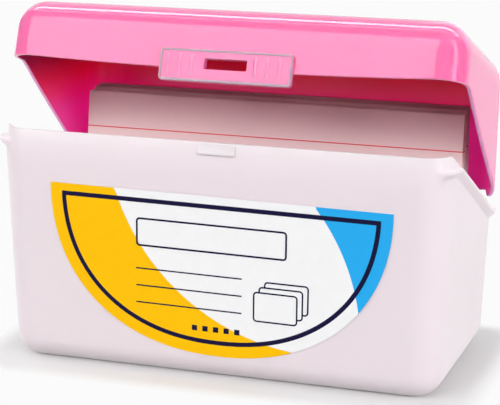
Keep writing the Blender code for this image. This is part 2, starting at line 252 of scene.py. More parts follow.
def make_world():
    """White to the camera. As a light it is dim at the horizon and brighter overhead."""
    world = bpy.data.worlds.new("white_studio")
    world.use_nodes = True
    tree = world.node_tree
    background = tree.nodes["Background"]
    background.inputs["Color"].default_value = (1, 1, 1, 1)
    direction = add_node(tree, "ShaderNodeTexCoord").outputs["Generated"]
    up = add_node(tree, "ShaderNodeSeparateXYZ", Vector=direction).outputs["Z"]
    strength = add_node(tree, "ShaderNodeMix", Factor=seen_directly(tree), B=world_seen,
                        A=spread(tree, up, world_low, world_high))
    tree.links.new(strength.outputs["Result"], background.inputs["Strength"])
    scene.world = world


def away_from_box(tree, place):
    """0 on the floor close to the box and 1 a little way off, as a distance from its rounded footprint."""
    edge = (model_box[1][0] - shadow_near, model_box[1][1] - shadow_near, 0)
    centred = add_node(tree, "ShaderNodeVectorMath", {"operation": "ABSOLUTE"}, i0=place)
    past = add_node(tree, "ShaderNodeVectorMath", {"operation": "SUBTRACT"}, i0=centred.outputs[0], i1=edge)
    outside = add_node(tree, "ShaderNodeVectorMath", {"operation": "MAXIMUM"}, i0=past.outputs[0])
    distance = add_node(tree, "ShaderNodeVectorMath", {"operation": "LENGTH"}, i0=outside.outputs[0])
    return spread(tree, distance.outputs["Value"], 0.0, 1.0, shadow_near, shadow_far, "SMOOTHSTEP")


def make_floor():
    """White paper. Close to the box it shows the shadow, and further off the camera sees it evenly white."""
    mesh = bpy.data.meshes.new("white_sweep")
    half = floor_size / 2
    corners = [(-half, -half, 0), (half, -half, 0), (half, half, 0), (-half, half, 0)]
    mesh.from_pydata(corners, [], [(0, 1, 2, 3)])
    floor = bpy.data.objects.new("white_sweep", mesh)
    scene.collection.objects.link(floor)
    material, tree, shader, place = start_material("white_sweep_paper", (1, 1, 1), 1.0)
    shader.inputs["Specular IOR Level"].default_value = 0.0
    seen = seen_directly(tree)
    colour = blend(tree, seen, (*[floor_bounce] * 3, 1), (*[floor_seen] * 3, 1))
    tree.links.new(colour, shader.inputs["Base Color"])
    even = add_node(tree, "ShaderNodeEmission", Strength=world_seen)
    mirrored_floor = add_node(tree, "ShaderNodeLightPath").outputs["Is Glossy Ray"]
    both = calculate(tree, "MULTIPLY", seen, away_from_box(tree, place))
    white = calculate(tree, "MAXIMUM", both, mirrored_floor)
    mix = add_node(tree, "ShaderNodeMixShader", i0=white, i1=shader.outputs[0], i2=even.outputs[0])
    tree.links.new(mix.outputs[0], tree.nodes["Material Output"].inputs["Surface"])
    mesh.materials.append(material)
    return floor


make_world()
floor = make_floor()
print("floor:", floor_size, "m across")

# %% [markdown]
# ## The two plastics
#
# The lid is dyed polypropylene: a clear pink with a polished skin. Light gets a millimetre or two into it,
# thin edges gather light and look paler, and where it bounces about inside the lid the pink deepens to
# crimson. The paler edges and the lighter ribs are painted highlights, paler copies of the pink. That bounce
# is part rendered and part painted. The bin is the same plastic undyed, which is milky: it scatters light
# inside its wall.

# %% Pink and milky polypropylene
glow_below = 68 * mm
glow_above = 94 * mm


def make_pink(name, first, second, low, high, radius, depth):
    """Pink between two nearby colours, a roughness from low to high, and how far light gets into it."""
    material, tree, shader, place = start_material(name, first, low)
    vary_colour(tree, shader, place, first, second, 25 * mm)
    vary_roughness(tree, shader, place, low, high, 12 * mm)
    shader.inputs["Subsurface Weight"].default_value = 1.0
    shader.inputs["Subsurface Radius"].default_value = radius
    shader.inputs["Subsurface Scale"].default_value = depth
    return material


def make_deep_pink():
    """The lid's inside. The glow of light through the wall near its lower edge is painted in, by height."""
    material, tree, shader, place = start_material("pink_polypropylene_inside", (0.8, 0.06, 0.30), 0.36)
    up = add_node(tree, "ShaderNodeSeparateXYZ", Vector=place).outputs["Z"]
    height = spread(tree, up, 0.0, 1.0, glow_below, glow_above, "SMOOTHSTEP")
    colour = blend(tree, height, (1.0, 0.09, 0.36, 1), (0.62, 0.03, 0.17, 1))
    tree.links.new(colour, shader.inputs["Base Color"])
    vary_roughness(tree, shader, place, 0.30, 0.42, 12 * mm)
    shader.inputs["Subsurface Weight"].default_value = 1.0
    shader.inputs["Subsurface Radius"].default_value = (1.0, 0.20, 0.35)
    tree.links.new(spread(tree, height, 15 * mm, 1.5 * mm), shader.inputs["Subsurface Scale"])
    return material


def make_milky():
    material, tree, shader, place = start_material("milky_polypropylene", (0.79, 0.70, 0.74), 0.38)
    vary_colour(tree, shader, place, (0.80, 0.71, 0.752), (0.78, 0.70, 0.74), 30 * mm)
    vary_roughness(tree, shader, place, 0.34, 0.46, 9 * mm)
    grain(tree, shader, place, 0.6 * mm, 0.008 * mm)
    shader.inputs["Subsurface Weight"].default_value = 0.6
    shader.inputs["Subsurface Radius"].default_value = (1.0, 0.95, 0.97)
    shader.inputs["Subsurface Scale"].default_value = 2.5 * mm
    return material


pink = make_pink("pink_polypropylene", (0.99, 0.19, 0.43), (0.97, 0.205, 0.45), 0.07, 0.12,
                 (1.0, 0.3, 0.5), 0.6 * mm)
# A paler copy of the pink for thin edges: a painted highlight for the light that they gather.
edge_pink_painted_light = make_pink("pink_polypropylene_edge_painted_light", (1.0, 0.38, 0.62), (1.0, 0.41, 0.65), 0.12, 0.20,
                      (1.0, 0.7, 0.85), 5.0 * mm)
# A lighter copy of the pink for the finger ribs: a painted highlight.
rib_pink_painted_light = make_pink("pink_polypropylene_ridge_painted_light", (1.0, 0.24, 0.50), (1.0, 0.26, 0.52), 0.10, 0.16,
                       (1.0, 0.4, 0.6), 0.6 * mm)
deep_pink = make_deep_pink()
milky = make_milky()
print("materials:", pink.name, deep_pink.name, milky.name)

# %% [markdown]
# ## Shells from rings
#
# Both mouldings are boxes with round corners, drafted walls and one wall thickness. Such a shell is one
# closed skin: a stack of rings that goes up the outside, over the rim and down the inside. A ring is a
# rounded rectangle, and each of its points may have its own height, which is how a rim slants. A Bevel
# modifier then takes the sharpness off the rims, as the mould's own small radii do.

# %% Ring and skin helpers
front_points = 25
corner_points = 14
side_points = 15
edge_rings = 12
wall_shares = (0.04, 0.35, 0.68, 0.95, 1.0)


def rounded_box_ring(half_width, front, rear, front_radius, rear_radius):
    """Points round a rounded rectangle seen from above, counter-clockwise from the front's left end."""
    least = 0.3 * mm
    front_radius = max(front_radius, least)
    rear_radius = max(rear_radius, least)
    corners = ((half_width - front_radius, front + front_radius, front_radius, -90),
               (half_width - rear_radius, rear - rear_radius, rear_radius, 0),
               (-half_width + rear_radius, rear - rear_radius, rear_radius, 90),
               (-half_width + front_radius, front + front_radius, front_radius, 180))
    straights = (front_points, side_points, front_points, side_points)
    points = []
    for index, (x, y, radius, start) in enumerate(corners):
        last_x, last_y, last_radius, last_start = corners[index - 1]
        begin = (last_x + last_radius * math.cos((last_start + 90) * degree),
                 last_y + last_radius * math.sin((last_start + 90) * degree))
        end = (x + radius * math.cos(start * degree), y + radius * math.sin(start * degree))
        for step in range(1, straights[index]):
            share = step / straights[index]
            points.append((begin[0] + (end[0] - begin[0]) * share, begin[1] + (end[1] - begin[1]) * share))
        for step in range(corner_points + 1):
            angle = (start + 90 * step / corner_points) * degree
            points.append((x + radius * math.cos(angle), y + radius * math.sin(angle)))
    return points


def raised_ring(outline, heights, insets):
    """One ring whose points each have a height and an inset of their own."""
    return [(*outline(z, inset)[i], z) for i, (z, inset) in enumerate(zip(heights, insets))]


def level_ring(outline, height, inset):
    return [(x, y, height) for x, y in outline(height, inset)]


def link_mesh(name, mesh, material):
    thing = bpy.data.objects.new(name, mesh)
    scene.collection.objects.link(thing)
    if material is not None:
        mesh.materials.append(material)
    return thing


def smooth(mesh, angle=35):
    mesh.shade_smooth()
    mesh.set_sharp_from_angle(angle=angle * degree)


def finish_mesh(name, bm, material):
    """Turns a bmesh into an object whose faces all point outwards."""
    bmesh.ops.recalc_face_normals(bm, faces=bm.faces[:])
    mesh = bpy.data.meshes.new(name)
    bm.to_mesh(mesh)
    bm.free()
    return link_mesh(name, mesh, material)


def skin(name, rings, materials, turns=()):
    """A closed skin through rings, from the first one's cap to the last one's.

    Each turn is the number of a band of faces, counted from the first ring, where the next material starts.
    """
    bm = bmesh.new()
    loops = [[bm.verts.new(point) for point in ring] for ring in rings]
    for number, (lower, upper) in enumerate(zip(loops, loops[1:])):
        for i in range(len(lower)):
            j = (i + 1) % len(lower)
            face = bm.faces.new((lower[i], lower[j], upper[j], upper[i]))
            face.material_index = sum(number >= turn for turn in turns)
    bm.faces.new(loops[0])
    bm.faces.new(loops[-1]).material_index = len(turns)
    thing = finish_mesh(name, bm, materials[0])
    for material in materials[1:]:
        thing.data.materials.append(material)
    return thing


def pushed_profile(name, profile, start, end, material, along="x"):
    """A closed outline pushed from start to end along X (points in Y and Z) or Y (points in X and Z)."""
    bm = bmesh.new()
    caps = []
    for place in (start, end):
        if along == "x":
            caps.append([bm.verts.new((place, a, b)) for a, b in profile])
        else:
            caps.append([bm.verts.new((a, place, b)) for a, b in profile])
    for i in range(len(profile)):
        j = (i + 1) % len(profile)
        bm.faces.new((caps[0][i], caps[0][j], caps[1][j], caps[1][i]))
    bm.faces.new(caps[0])
    bm.faces.new(caps[1])
    return finish_mesh(name, bm, material)


def hollow_plate(name, outer, inner, near, far, material, fill=None):
    """A plate between two outlines in X and Z, from near to far along Y.

    Outlines with matching points are bridged. Others are filled, with fill saying if flat triangles merge.
    """
    bm = bmesh.new()
    loops = []
    for y in (near, far):
        for outline in (outer, inner):
            verts = [bm.verts.new((x, y, z)) for x, z in outline]
            loops.append([bm.edges.new((verts[i - 1], verts[i])) for i in range(len(verts))])
    for first, second in ((0, 1), (2, 3)):
        edges = loops[first] + loops[second]
        if fill is None:
            bmesh.ops.bridge_loops(bm, edges=edges)
        else:
            bmesh.ops.triangle_fill(bm, use_beauty=True, use_dissolve=fill, edges=edges)
    for first, second in ((0, 2), (1, 3)):
        bmesh.ops.bridge_loops(bm, edges=loops[first] + loops[second])
    return finish_mesh(name, bm, material)


def arc_points(x, y, radius, start, sweep, steps):
    """Points on a circle's arc, angles in degrees, ends included."""
    points = []
    for step in range(steps + 1):
        angle = (start + sweep * step / steps) * degree
        points.append((x + radius * math.cos(angle), y + radius * math.sin(angle)))
    return points


def soften(thing, width, segments=3, angle=40):
    """A Bevel modifier on edges sharper than the angle."""
    bevel = thing.modifiers.new("soft_edges", "BEVEL")
    bevel.width = width
    bevel.segments = segments
    bevel.limit_method = "ANGLE"
    bevel.angle_limit = angle * degree
    bevel.harden_normals = False


def bake_modifiers(thing):
    """Turns what the modifiers show into the object's own plain mesh."""
    view = bpy.context.evaluated_depsgraph_get()
    mesh = bpy.data.meshes.new_from_object(thing.evaluated_get(view))
    mesh.name = thing.name
    thing.modifiers.clear()
    thing.data = mesh
    smooth(mesh)


print("points in a ring:", len(rounded_box_ring(1, -1, 1, 0.1, 0.1)))

# %% [markdown]
# ## Sizes that the shells share with the model
#
# The model's joints say where the hinge lies and how far the lid is from shut, so those are read from the
# frame. The rest are the same driving sizes that the model was drawn with.

# %% Shared sizes
hinge = next(joint for joint in frame["joints"] if joint["name"] == "lid_hinge")
hinge_y, hinge_z = hinge["pos_m"][1], hinge["pos_m"][2]
lid_opening = -hinge["range_deg"][0] * degree
card_width = 127.0 * mm
card_height = 76.2 * mm

bin_half_width = card_width / 2 + 5.27 * mm
bin_half_depth = 35.855 * mm
bin_side_draft = 1.99 * degree
bin_end_draft = 1.63 * degree
bin_corner = 9.16 * mm
bin_foot = 7.56 * mm
bin_wall = 1.6 * mm
bin_floor = 1.0 * mm
rim_front = card_height - 2.24 * mm
rim_rear = rim_front - 25.94 * mm
rim_front_y = -bin_half_depth - rim_front * math.tan(bin_end_draft)
rim_rear_y = bin_half_depth + rim_rear * math.tan(bin_end_draft)
rim_side_x = bin_half_width + rim_front * math.tan(bin_side_draft)
slant_start = rim_front_y + 6.76 * mm
slant_end = rim_rear_y - bin_corner

lid_half_width = rim_side_x + 0.54 * mm
lid_front_y = rim_front_y - 1.7 * mm
lid_rear_y = rim_rear_y + 0.29 * mm
lid_top = rim_front + 16.11 * mm
lid_wall = 1.2 * mm
lid_top_edge = 9.59 * mm
lid_corner = 8.45 * mm
lid_rear_corner = 11.76 * mm
lid_side_draft = 0.42 * degree
lid_front_draft = 1.51 * degree
lid_rear_slope = 12.75 * degree
skirt_bow = 1.27 * mm
skirt_front = rim_front - 2.66 * mm
skirt_foot = rim_rear - 1.72 * mm
skirt_start = lid_front_y + 12.16 * mm
skirt_end = lid_rear_y - 5.11 * mm
print("lid open by", round(lid_opening / degree, 2), "degrees, hinge at", hinge_y, hinge_z)


# %% [markdown]
# ## The bin
#
# The wall rises with a slight draft from a well rounded foot. Near the top it steps in by a millimetre, so
# that the lid's skirt can come down outside it, and along the sides a ledge stands out that the skirt
# lands on. The rim is high in front, falls along both sides and is low at the rear.

# %% Rim, skirt and ledge heights
def between(value, low, high):
    return min(max((value - low) / (high - low), 0), 1)


def rim_height(y):
    return rim_front + (rim_rear - rim_front) * between(y, slant_start, slant_end)


def skirt_height(x, y):
    """Lower edge of the shut lid: bowed in front, slanting at the sides, with a foot and a low rear."""
    if y > lid_rear_y - 4.01 * mm:
        return rim_rear + 0.5 * mm
    height = skirt_front + (skirt_foot - skirt_front) * between(y, skirt_start, skirt_end)
    if y < lid_front_y + lid_corner:
        straight = lid_half_width - lid_corner
        height -= skirt_bow * max(1 - (x / straight) ** 2, 0)
    return height


def ledge_height(y):
    return min(rim_height(y) - 2.1 * mm, skirt_height(bin_half_width, y) - 0.3 * mm)


def bin_ring(height, inset):
    half_width = bin_half_width + height * math.tan(bin_side_draft) - inset
    half_depth = bin_half_depth + height * math.tan(bin_end_draft) - inset
    radius = bin_corner - inset
    return rounded_box_ring(half_width, -half_depth, half_depth, radius, radius)


print("rim in front and at the rear:", rim_height(rim_front_y), rim_height(rim_rear_y))

# %% Bin moulding
def make_bin():
    guide = bin_ring(rim_front, 0)
    rim = [rim_height(y) for x, y in guide]
    share = [between(y, rim_front_y + 1.56 * mm, rim_front_y + 3.16 * mm) for x, y in guide]
    step = [z - 3.6 * mm for z in rim]
    ledge = [ledge_height(y) for x, y in guide]
    reach = -1.8 * mm
    flat = [0] * len(guide)
    recess = 1.0 * mm
    taper = 7.1 * mm

    def eased(below, side_inset):
        """The front leans in little by little to its rim, the sides and rear step by the given inset."""
        return [recess * (1 - below / taper) * (1 - s) + side_inset * s for s in share]

    def mixed(below_step, below_ledge):
        return [(a - below_step) * (1 - s) + (b - below_ledge) * s for a, b, s in zip(step, ledge, share)]

    rings = []
    for i in range(edge_rings + 1):
        turn = 90 * degree * i / edge_rings
        rings.append(level_ring(bin_ring, bin_foot * (1 - math.cos(turn)), bin_foot * (1 - math.sin(turn))))
    top = mixed(3.5 * mm, 3.5 * mm)
    for part in wall_shares:
        rings.append(raised_ring(bin_ring, [bin_foot + (z - bin_foot) * part for z in top], flat))
    rings.append(raised_ring(bin_ring, mixed(1.2 * mm, 1.7 * mm), eased(4.8 * mm, reach)))
    rings.append(raised_ring(bin_ring, mixed(0.6 * mm, 0.6 * mm), eased(4.2 * mm, reach)))
    rings.append(raised_ring(bin_ring, mixed(0, 0), eased(3.6 * mm, recess)))
    rings.append(raised_ring(bin_ring, rim, eased(0, recess)))
    for part in reversed(wall_shares):
        rings.append(raised_ring(bin_ring, [bin_foot + (z - bin_foot) * part for z in rim],
                                 [bin_wall] * len(guide)))
    inner = bin_foot - bin_wall
    for i in range(edge_rings, -1, -1):
        turn = 90 * degree * i / edge_rings
        rings.append(level_ring(bin_ring, bin_floor + inner * (1 - math.cos(turn)),
                                bin_wall + inner * (1 - math.sin(turn))))
    thing = skin("bin_moulding", rings, [milky])
    soften(thing, 0.2 * mm, 2)
    bake_modifiers(thing)
    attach(thing, "bin")
    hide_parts("card_bin")
    return thing


bin_moulding = make_bin()
print("bin:", len(bin_moulding.data.vertices), "vertices")

# %% [markdown]
# ## Catch and hinge ears
#
# The latch tab snaps over a wedge on the bin's front. At the rear the lid turns on two short pins, each
# held between two ears that are moulded on the wall. These small shapes are outlines pushed along X, with
# soft edges.

# %% Catch, ears and pins
tab_width = 41.8 * mm
tab_centre = 0.6 * mm
tab_bottom = skirt_front - 5.3 * mm
tab_top = skirt_front + 4.6 * mm
tab_inner_y = lid_front_y + 0.1 * mm
tab_outer_y = tab_inner_y - 1.2 * mm
pin_radius = 1.2 * mm
ear_radius = 1.8 * mm
clip_length = 14.0 * mm
ear_thickness = 3.0 * mm
ear_gap = 0.3 * mm
hinge_spacing = 90.0 * mm


def front_face(z):
    return -(bin_half_depth + z * math.tan(bin_end_draft))


def make_catch():
    swing = math.hypot(hinge_y - tab_inner_y, tab_bottom - hinge_z)

    def swept(z):
        return hinge_y - math.sqrt(swing ** 2 - (z - hinge_z) ** 2) + 0.3 * mm

    top = rim_front - 0.6 * mm
    bottom = rim_front - 3.8 * mm
    root = front_face(bottom) + 0.8 * mm
    low = bottom + 0.6 * mm
    profile = [(root, bottom), (root, top), (swept(top), top), (swept(low), low),
               (front_face(bottom), bottom)]
    thing = pushed_profile("catch_wedge", profile, tab_centre - 5.8 * mm, tab_centre + 5.8 * mm, milky)
    soften(thing, 0.2 * mm)
    bake_modifiers(thing)
    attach(thing, "bin")
    return thing


def ear_profile():
    gusset = rim_rear - 9.0 * mm
    wall = bin_half_depth + gusset * math.tan(bin_end_draft)
    shoulder = rim_rear - 2.7 * mm
    front = rim_rear_y + 0.6 * mm
    points = arc_points(hinge_y, hinge_z, ear_radius, 210, -210, 24)
    points += [(hinge_y + ear_radius, shoulder), (wall, gusset), (wall - 0.8 * mm, gusset)]
    points += [(rim_rear_y - 1.3 * mm, shoulder), (front, shoulder), (front, rim_rear)]
    return points


def make_hinge_side(number, x):
    """Two ears and the pin between them."""
    near = clip_length / 2 + ear_gap
    far = near + ear_thickness
    pieces = []
    for side, start in (("left", x - far), ("right", x + near)):
        ear = pushed_profile(f"hinge_{number}_{side}_ear", ear_profile(), start, start + ear_thickness, milky)
        soften(ear, 0.3 * mm)
        pieces.append(ear)
    circle = arc_points(hinge_y, hinge_z, pin_radius, 0, 360, 32)[:-1]
    middle = (near + far) / 2
    pieces.append(pushed_profile(f"hinge_{number}_pin", circle, x - middle, x + middle, milky))
    for piece in pieces:
        bake_modifiers(piece)
        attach(piece, "bin")
    return pieces


catch_wedge = make_catch()
hinge_sides = [make_hinge_side(number, x) for number, x in ((1, -hinge_spacing / 2), (2, hinge_spacing / 2))]
print("catch, and", sum(len(pieces) for pieces in hinge_sides), "hinge pieces on the bin")

# %% [markdown]
# ## The lid
#
# The lid is made shut, as the model is, and then its finished mesh is turned open about the hinge. Its top
# edge is a large round, its front is upright and its rear slopes in. The slot for the catch goes through
# both the tab and the wall behind it, so the wall gets its cut with a Boolean.

# %% Lid moulding
slot_width = 13.4 * mm
slot_bottom = skirt_front - 1.4 * mm
slot_height = 3.35 * mm
open_lid = (Matrix.Translation((0, hinge_y, hinge_z)) @ Matrix.Rotation(-lid_opening, 4, "X")
            @ Matrix.Translation((0, -hinge_y, -hinge_z)))


def lid_ring(height, inset):
    above = height - skirt_front
    half_width = lid_half_width - above * math.tan(lid_side_draft) - inset
    front = lid_front_y + above * math.tan(lid_front_draft) + inset
    rear = lid_rear_y - (height - rim_rear) * math.tan(lid_rear_slope) - inset
    return rounded_box_ring(half_width, front, rear, lid_corner - inset, lid_rear_corner - inset)


def rounded_plate(left, right, bottom, top, radius, steps):
    points = arc_points(right - radius, bottom + radius, radius, -90, 90, steps)
    points += arc_points(right - radius, top - radius, radius, 0, 90, steps)
    points += arc_points(left + radius, top - radius, radius, 90, 90, steps)
    points += arc_points(left + radius, bottom + radius, radius, 180, 90, steps)
    return points


def slot_outline(grow):
    left = tab_centre - slot_width / 2 - grow
    return rounded_plate(left, left + slot_width + 2 * grow, slot_bottom - grow,
                         slot_bottom + slot_height + grow, 0.4 * mm + grow, 6)


def finish_lid_piece(thing):
    """Opens a piece that was made shut, and lets it ride on the lid."""
    thing.data.transform(open_lid)
    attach(thing, "lid")


def make_lid():
    guide = lid_ring(rim_rear, 0)
    edge = [skirt_height(x, y) for x, y in guide]
    rings = []
    for i in range(edge_rings + 1):
        turn = 90 * degree * i / edge_rings
        rings.append(level_ring(lid_ring, lid_top - lid_top_edge * (1 - math.cos(turn)),
                                lid_top_edge * (1 - math.sin(turn))))
    shoulder = lid_top - lid_top_edge
    wall = [[shoulder + (z - shoulder) * share for z in edge] for share in wall_shares]
    rings += [raised_ring(lid_ring, heights, [0] * len(guide)) for heights in wall]
    inner_from = len(rings)
    rings += [raised_ring(lid_ring, heights, [lid_wall] * len(guide)) for heights in reversed(wall)]
    inner = lid_top_edge - lid_wall
    for i in range(edge_rings, -1, -1):
        turn = 90 * degree * i / edge_rings
        rings.append(level_ring(lid_ring, lid_top - lid_wall - inner * (1 - math.cos(turn)),
                                lid_wall + inner * (1 - math.sin(turn))))
    # The band along the lower edge gets the paler pink, a painted highlight.
    thing = skin("lid_moulding", rings, [pink, edge_pink_painted_light, deep_pink], (inner_from - 1, inner_from))
    soften(thing, 0.25 * mm, 3)
    cutter = pushed_profile("slot_cutter", slot_outline(0), tab_outer_y - 1 * mm, tab_inner_y + 3 * mm, None,
                            "y")
    cut = thing.modifiers.new("slot", "BOOLEAN")
    cut.operation = "DIFFERENCE"
    cut.solver = "EXACT"
    cut.object = cutter
    bake_modifiers(thing)
    bpy.data.objects.remove(cutter, do_unlink=True)
    finish_lid_piece(thing)
    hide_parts("hinged_lid")
    return thing


lid_moulding = make_lid()
print("lid:", len(lid_moulding.data.vertices), "vertices")

# %% [markdown]
# ## The latch tab
#
# A thin plate on the lid's front with a slot in its middle and three upright finger ribs on each side. The
# ribs are the same small form six times over, so Geometry Nodes make them: a row of points, one rib
# instanced on each, then realised into real faces.

# %% Tab plate
tab_corner = 1.2 * mm


def tab_outline(inset):
    left = tab_centre - tab_width / 2
    return rounded_plate(left + inset, left + tab_width - inset, tab_bottom + inset, tab_top - inset,
                         tab_corner - inset, 8)


def make_tab():
    thing = hollow_plate("latch_tab", tab_outline(0), slot_outline(0), tab_outer_y, tab_inner_y + 0.05 * mm,
                         pink, fill=True)
    soften(thing, 0.5 * mm, 4)
    bake_modifiers(thing)
    finish_lid_piece(thing)
    return thing


def make_tab_rim():
    """A low ridge round the edge of the tab's face, in the paler pink that is a painted highlight."""
    thing = hollow_plate("latch_tab_rim", tab_outline(0.1 * mm), tab_outline(0.8 * mm),
                         tab_outer_y - 0.2 * mm, tab_outer_y + 0.4 * mm, edge_pink_painted_light)
    soften(thing, 0.18 * mm, 3)
    bake_modifiers(thing)
    finish_lid_piece(thing)
    return thing


latch_tab = make_tab()
tab_rim = make_tab_rim()
print("tab:", len(latch_tab.data.vertices) + len(tab_rim.data.vertices), "vertices")

# %% Finger ribs with Geometry Nodes
def node_group(name, inputs):
    """An empty Geometry Nodes tree with named inputs: {name: (socket type, default)}."""
    tree = bpy.data.node_groups.new(name, "GeometryNodeTree")
    tree.interface.new_socket(name="Geometry", in_out="INPUT", socket_type="NodeSocketGeometry")
    for title, (kind, value) in inputs.items():
        socket = tree.interface.new_socket(name=title, in_out="INPUT", socket_type=kind)
        if value is not None:
            socket.default_value = value
    tree.interface.new_socket(name="Geometry", in_out="OUTPUT", socket_type="NodeSocketGeometry")
    return tree, tree.nodes.new("NodeGroupInput"), tree.nodes.new("NodeGroupOutput")


def close_group(tree, given, result, geometry):
    """Ends a tree in real faces with their material."""
    real = add_node(tree, "GeometryNodeRealizeInstances", Geometry=geometry)
    painted = add_node(tree, "GeometryNodeSetMaterial", Geometry=real.outputs["Geometry"],
                       Material=given.outputs["Material"])
    tree.links.new(painted.outputs["Geometry"], result.inputs["Geometry"])


def grow(name, tree, values):
    """Runs a tree on an empty object with the given inputs and keeps the plain mesh."""
    thing = link_mesh(name, bpy.data.meshes.new(name), None)
    modifier = thing.modifiers.new(name, "NODES")
    modifier.node_group = tree
    for item in tree.interface.items_tree:
        if item.item_type == "SOCKET" and item.in_out == "INPUT" and item.name in values:
            modifier[item.identifier] = values[item.name]
    bake_modifiers(thing)
    return thing


def rib_tree():
    tree, given, result = node_group("finger_ribs", {
        "Ribs": ("NodeSocketInt", 3), "Spacing": ("NodeSocketFloat", 3.7 * mm),
        "Width": ("NodeSocketFloat", 0.9 * mm), "Height": ("NodeSocketFloat", 5.8 * mm),
        "Reach": ("NodeSocketFloat", 0.35 * mm), "Start": ("NodeSocketVector", (0, 0, 0)),
        "Material": ("NodeSocketMaterial", None)})
    ridge = add_node(tree, "GeometryNodeMeshCone", {"fill_type": "NGON"}, Vertices=4, Radius_Bottom=0.7071,
                     Radius_Top=0.20, Depth=given.outputs["Reach"])
    size = add_node(tree, "ShaderNodeCombineXYZ", X=given.outputs["Width"], Y=given.outputs["Height"], Z=1.0)
    square = add_node(tree, "GeometryNodeTransform", Geometry=ridge.outputs["Mesh"],
                      Rotation=(0, 0, math.pi / 4))
    sized = add_node(tree, "GeometryNodeTransform", Geometry=square.outputs["Geometry"],
                     Scale=size.outputs["Vector"])
    turned = add_node(tree, "GeometryNodeTransform", Geometry=sized.outputs["Geometry"],
                      Rotation=(math.pi / 2, 0, 0))
    offset = add_node(tree, "ShaderNodeCombineXYZ", X=given.outputs["Spacing"])
    row = add_node(tree, "GeometryNodeMeshLine", Count=given.outputs["Ribs"],
                   Offset=offset.outputs["Vector"], Start_Location=given.outputs["Start"])
    placed = add_node(tree, "GeometryNodeInstanceOnPoints", Points=row.outputs["Mesh"],
                      Instance=turned.outputs["Geometry"])
    close_group(tree, given, result, placed.outputs["Instances"])
    return tree


def make_ribs():
    tree = rib_tree()
    places = [share * tab_width / 2 for share in (0.48, 0.84)]
    spacing = (places[1] - places[0]) / 2
    made = []
    for side, start in (("left", -places[1]), ("right", places[0])):
        # The ribs get the lighter pink, a painted highlight.
        values = {"Ribs": 3, "Spacing": spacing, "Width": 1.1 * mm, "Height": 6.8 * mm, "Reach": 0.35 * mm,
                  "Start": (tab_centre + start - 0.7 * mm, tab_outer_y - 0.1 * mm, skirt_front - 0.2 * mm),
                  "Material": rib_pink_painted_light}
        thing = grow(f"{side}_finger_ribs", tree, values)
        finish_lid_piece(thing)
        made.append(thing)
    return made


finger_ribs = make_ribs()
print("ribs:", sum(len(thing.data.polygons) for thing in finger_ribs), "faces")

# %% [markdown]
# ## Hinge clips
#
# On each pin sits a C-shaped clip of the lid, open at its lower rear so that it could be pressed on.

# %% Clips
clip_bore = 1.5 * mm
clip_radius = 2.4 * mm
clip_mouth = 100


def make_clip(number, x):
    start = -45 + clip_mouth / 2
    sweep = 360 - clip_mouth
    profile = arc_points(hinge_y, hinge_z, clip_radius, start, sweep, 32)
    profile += arc_points(hinge_y, hinge_z, clip_bore, start + sweep, -sweep, 32)
    thing = pushed_profile(f"hinge_{number}_clip", profile, x - clip_length / 2, x + clip_length / 2, pink)
    soften(thing, 0.15 * mm, 2)
    bake_modifiers(thing)
    finish_lid_piece(thing)
    return thing


clips = [make_clip(number, x) for number, x in ((1, -hinge_spacing / 2), (2, hinge_spacing / 2))]
print("clips:", len(clips))

# %% [markdown]
# ## The cards
#
# Ruled index cards: a red line below the top edge and pale blue ones under it. Three packs stand in the
# bin and lean back. A card is a thin sheet, flat here as the tree's bow is set to nothing, and Geometry Nodes
# stack it, each copy pushed a hair to one side, as a handled pack is. The ruling is drawn in the pack's own
# upright coordinates, and so is a blush near the top, for the pink light that the lid throws on the cards.

# %% Card paper
header_drop = 11.5 * mm
header_line = 0.38 * mm
line_spacing = 6.35 * mm
ruled_line = 0.24 * mm
blush_depth = 20 * mm


def make_card_paper(name, foot, lean):
    """Ruled paper. A Mapping node stands the pack's leaning cards upright for the ruling."""
    material, tree, shader, place = start_material(name, (0.90, 0.88, 0.86), 0.75)
    upright = add_node(tree, "ShaderNodeMapping", {"vector_type": "TEXTURE"}, Vector=place,
                       Location=foot, Rotation=(-lean, 0, 0))
    up = add_node(tree, "ShaderNodeSeparateXYZ", Vector=upright.outputs["Vector"]).outputs["Z"]
    below = calculate(tree, "SUBTRACT", card_height - header_drop, up)
    header = calculate(tree, "LESS_THAN", calculate(tree, "ABSOLUTE", below), header_line / 2)
    off_line = calculate(tree, "PINGPONG", below, line_spacing / 2)
    near_line = calculate(tree, "LESS_THAN", off_line, ruled_line / 2)
    under = calculate(tree, "GREATER_THAN", below, line_spacing / 2)
    line = calculate(tree, "MULTIPLY", near_line, under)
    # The sheet's peach colour, and the blush multiplied in near the top, are painted pink light that the lid
    # throws on white cards.
    fibre = add_node(tree, "ShaderNodeTexNoise", Vector=place, Scale=1 / (1.2 * mm), Detail=4.0)
    paper = blend(tree, fibre.outputs["Fac"], (1.0, 0.80, 0.79, 1), (0.98, 0.77, 0.76, 1))
    high = spread(tree, up, 0.0, 1.0, card_height - blush_depth, card_height)
    blush = blend(tree, high, paper, (1.0, 0.78, 0.84, 1), "MULTIPLY")
    ruled = blend(tree, line, blush, (0.42, 0.62, 0.80, 1))
    headed = blend(tree, header, ruled, (0.85, 0.10, 0.11, 1))
    tree.links.new(headed, shader.inputs["Base Color"])
    grain(tree, shader, place, 0.3 * mm, 0.01 * mm)
    return material


print("ruled every", line_spacing, "m,", header_drop, "m below the top")

# %% Card packs with Geometry Nodes
card_thickness = 0.23 * mm
card_pitch = 0.5 * mm
packs = (("front", 10, 7.75 * degree, 1, 11),
         ("middle", 10, 4.5 * degree, 11, 21),
         ("rear", 3, 0.5 * degree, 21, 24))


